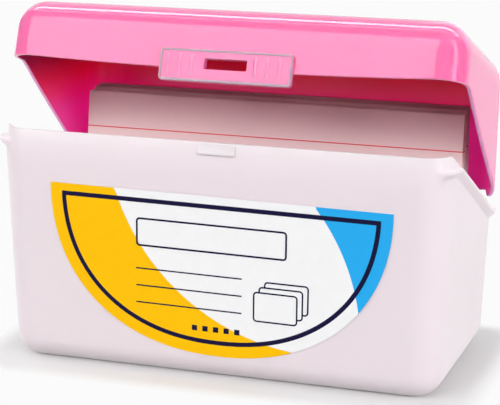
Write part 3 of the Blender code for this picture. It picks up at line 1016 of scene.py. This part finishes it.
def card_tree():
    tree, given, result = node_group("card_pack", {
        "Cards": ("NodeSocketInt", 10), "Pitch": ("NodeSocketFloat", card_pitch),
        "Step Up": ("NodeSocketFloat", 0.0), "Bow": ("NodeSocketFloat", 0.1 * mm),
        "Scatter": ("NodeSocketFloat", 0.3 * mm), "Seed": ("NodeSocketInt", 1),
        "Material": ("NodeSocketMaterial", None)})
    card = add_node(tree, "GeometryNodeMeshCube", Size=(card_width, card_thickness, card_height),
                    Vertices_X=24, Vertices_Y=2, Vertices_Z=2)
    stood = add_node(tree, "GeometryNodeTransform", Geometry=card.outputs["Mesh"],
                     Translation=(0, card_thickness / 2, card_height / 2))
    where = add_node(tree, "GeometryNodeInputPosition")
    across = add_node(tree, "ShaderNodeSeparateXYZ", Vector=where.outputs["Position"])
    share = calculate(tree, "MULTIPLY", across.outputs["X"], 2 / card_width)
    depth = calculate(tree, "MULTIPLY", calculate(tree, "MULTIPLY", share, share), given.outputs["Bow"])
    push = add_node(tree, "ShaderNodeCombineXYZ", Y=depth)
    bowed = add_node(tree, "GeometryNodeSetPosition", Geometry=stood.outputs["Geometry"],
                     Offset=push.outputs["Vector"])
    offset = add_node(tree, "ShaderNodeCombineXYZ", Y=given.outputs["Pitch"], Z=given.outputs["Step Up"])
    row = add_node(tree, "GeometryNodeMeshLine", Count=given.outputs["Cards"],
                   Offset=offset.outputs["Vector"])
    less = calculate(tree, "MULTIPLY", given.outputs["Scatter"], -1.0)
    stray = add_node(tree, "FunctionNodeRandomValue", {"data_type": "FLOAT"}, Min=less,
                     Max=given.outputs["Scatter"], Seed=given.outputs["Seed"])
    sideways = add_node(tree, "ShaderNodeCombineXYZ", X=stray.outputs["Value"])
    strewn = add_node(tree, "GeometryNodeSetPosition", Geometry=row.outputs["Mesh"],
                      Offset=sideways.outputs["Vector"])
    placed = add_node(tree, "GeometryNodeInstanceOnPoints", Points=strewn.outputs["Geometry"],
                      Instance=bowed.outputs["Geometry"])
    close_group(tree, given, result, placed.outputs["Instances"])
    return tree


def make_packs():
    tree = card_tree()
    joints = {joint["name"]: joint for joint in frame["joints"]}
    made = []
    for number, (name, count, lean, first, end) in enumerate(packs):
        foot = Vector(joints[f"{name}_pack_tip"]["pos_m"])
        paper = make_card_paper(f"{name}_card_paper", foot, lean)
        values = {"Cards": count, "Pitch": card_pitch, "Step Up": card_pitch * math.tan(lean), "Bow": 0.0,
                  "Scatter": 0.15 * mm, "Seed": 3 + number, "Material": paper}
        thing = grow(f"{name}_card_pack", tree, values)
        thing.data.transform(Matrix.Translation(foot) @ Matrix.Rotation(-lean, 4, "X"))
        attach(thing, f"{name}_pack")
        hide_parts(*[f"index_card_{card:02d}" for card in range(first, end)])
        made.append(thing)
    return made


card_packs = make_packs()
print("packs:", [thing.name for thing in card_packs])

# %% [markdown]
# ## The label
#
# A paper sticker with a straight top and one full curve below it. Its print is generic: a navy border line,
# a blue field and a yellow field, a frame to write in, blank ruled lines, a row of squares and a small
# drawing of three cards. Each ink is its own very thin layer on the white sheet. The fields are cut from
# the same outline by large circles, and Geometry Nodes set the ruled lines and the squares out in rows.

# %% Label outline and inks
label_half_width = 54.0 * mm
label_depth = 49.9 * mm
label_top = rim_front - 16.3 * mm
label_centre = 1.1 * mm
label_turn = 0.65 * degree
label_roundness = 2.2
label_lies = (Matrix.Translation((label_centre, front_face(label_top) - 0.1 * mm, label_top))
              @ Matrix.Rotation(bin_end_draft, 4, "X") @ Matrix.Rotation(label_turn, 4, "Y"))
sheet_face = 0.16 * mm
field_face = 0.17 * mm
line_face = 0.185 * mm


def make_ink(name, colour, roughness=0.35):
    material, tree, shader, place = start_material(name, colour, roughness)
    shader.inputs["Specular IOR Level"].default_value = 0.08
    pale = tuple(min(value * 1.05 + 0.002, 1) for value in colour)
    vary_colour(tree, shader, place, colour, pale, 3 * mm)
    grain(tree, shader, place, 0.8 * mm, 0.004 * mm)
    return material


def label_curve(inset, top_inset=0, steps=96):
    """The label's outline, drawn in by the insets: the straight top's ends first, then the curve."""
    points = []
    for step in range(steps + 1):
        angle = math.pi + math.pi * step / steps
        across = math.copysign(abs(math.cos(angle)) ** (2 / label_roundness), math.cos(angle))
        down = abs(math.sin(angle)) ** (2 / label_roundness)
        points.append(Vector((across * label_half_width, -down * label_depth)))
    if inset == 0:
        return points
    drawn = []
    for i, point in enumerate(points):
        ahead = points[min(i + 1, steps)] - points[max(i - 1, 0)]
        inward = Vector((-ahead.y, ahead.x)).normalized()
        drawn.append(point + inward * inset)
    kept = [point for point in drawn if point.y < -top_inset]
    left = Vector((kept[0].x, -top_inset))
    right = Vector((kept[-1].x, -top_inset))
    return [left] + kept + [right]


def beyond_circle(outline, centre, radius):
    """The part of a closed outline that lies outside a circle, closed again along the circle."""
    fine = []
    for i, point in enumerate(outline):
        last = outline[i - 1]
        pieces = max(1, math.ceil((point - last).length / (0.4 * mm)))
        fine += [last + (point - last) * step / pieces for step in range(1, pieces + 1)]
    outside = [(point - centre).length > radius for point in fine]
    first = next(i for i in range(len(fine)) if outside[i] and not outside[i - 1])
    turned = fine[first:] + fine[:first]
    kept = turned[:(outside[first:] + outside[:first]).index(False)]
    start = math.atan2(kept[-1].y - centre.y, kept[-1].x - centre.x)
    end = math.atan2(kept[0].y - centre.y, kept[0].x - centre.x)
    sweep = (end - start + math.pi) % (2 * math.pi) - math.pi
    arc = [centre + radius * Vector((math.cos(start + sweep * k / 40), math.sin(start + sweep * k / 40)))
           for k in range(1, 40)]
    return kept + arc


print("label outline:", len(label_curve(0)), "points")

# %% Label layers
def lay_on_label(thing):
    thing.data.transform(label_lies)
    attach(thing, "bin")
    return thing


def layer(name, outline, low, high, material):
    """A flat layer of the label. Low and high are its faces, measured forward from the sheet's back."""
    return lay_on_label(pushed_profile(name, [(x, z) for x, z in outline], -high, -low, material, "y"))


def line_ring(name, outer, inner, low, high, material):
    """A printed line that closes on itself, between an outer and an inner outline."""
    return lay_on_label(hollow_plate(name, outer, inner, -high, -low, material, fill=False))


def framed_card(name, left, bottom, width, height, line, face, inks):
    """A white plate with a navy line round it."""
    white, navy = inks
    corner = 1.2 * mm
    outer = rounded_plate(left, left + width, bottom, bottom + height, corner, 5)
    inner = rounded_plate(left + line, left + width - line, bottom + line, bottom + height - line,
                          corner - line, 5)
    layer(f"{name}_white", outer, sheet_face, face, white)
    line_ring(f"{name}_line", outer, inner, sheet_face, face + 0.01 * mm, navy)


def print_tree():
    tree, given, result = node_group("printed_row", {
        "Marks": ("NodeSocketInt", 3), "Step": ("NodeSocketVector", (0, 0, -6 * mm)),
        "Size": ("NodeSocketVector", (40 * mm, 0.02 * mm, 0.5 * mm)),
        "Start": ("NodeSocketVector", (0, 0, 0)), "Material": ("NodeSocketMaterial", None)})
    mark = add_node(tree, "GeometryNodeMeshCube", Size=given.outputs["Size"])
    row = add_node(tree, "GeometryNodeMeshLine", Count=given.outputs["Marks"],
                   Offset=given.outputs["Step"], Start_Location=given.outputs["Start"])
    placed = add_node(tree, "GeometryNodeInstanceOnPoints", Points=row.outputs["Mesh"],
                      Instance=mark.outputs["Mesh"])
    close_group(tree, given, result, placed.outputs["Instances"])
    return tree


def make_label():
    white = make_ink("label_white", (0.84, 0.84, 0.85))
    navy = make_ink("label_navy", (0.006, 0.004, 0.035))
    yellow = make_ink("label_yellow", (0.92, 0.50, 0.001))
    blue = make_ink("label_blue", (0.02, 0.38, 0.80))
    edge = label_curve(0)
    sheet = layer("label_sheet", edge, 0, sheet_face, white)
    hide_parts("front_label")
    for name, centre, radius, ink in (("label_blue_field", (-19, -41), 64 * mm, blue),
                                      ("label_yellow_field", (30, 20), 66 * mm, yellow)):
        layer(name, beyond_circle(edge, Vector(centre) * mm, radius), sheet_face, field_face, ink)
    line_ring("label_border", label_curve(3.6 * mm, 2.4 * mm), label_curve(5.0 * mm, 3.8 * mm), sheet_face,
              line_face, navy)
    framed_card("label_frame", -26 * mm, -17.5 * mm, 48 * mm, 9 * mm, 0.6 * mm, field_face, (white, navy))
    for number in range(3):
        shift = 1.7 * mm * number
        framed_card(f"label_card_{number + 1}", 15 * mm - shift, -34 * mm - shift, 14 * mm, 9.5 * mm,
                    0.5 * mm, field_face + 0.012 * mm * number, (white, navy))
    tree = print_tree()
    rows = {"label_ruled_lines": (3, (0, 0, -5.4 * mm), (34 * mm, 0.02 * mm, 0.45 * mm), (-9, -24.5)),
            "label_squares": (5, (3.4 * mm, 0, 0), (1.7 * mm, 0.02 * mm, 1.7 * mm), (-7, -41.5))}
    for name, (count, step, size, start) in rows.items():
        values = {"Marks": count, "Step": step, "Size": size, "Material": navy,
                  "Start": (start[0] * mm, -line_face + 0.01 * mm, start[1] * mm)}
        lay_on_label(grow(name, tree, values))
    return sheet


label_sheet = make_label()
print("label:", [round(v * 1000, 1) for v in label_sheet.dimensions], "mm")
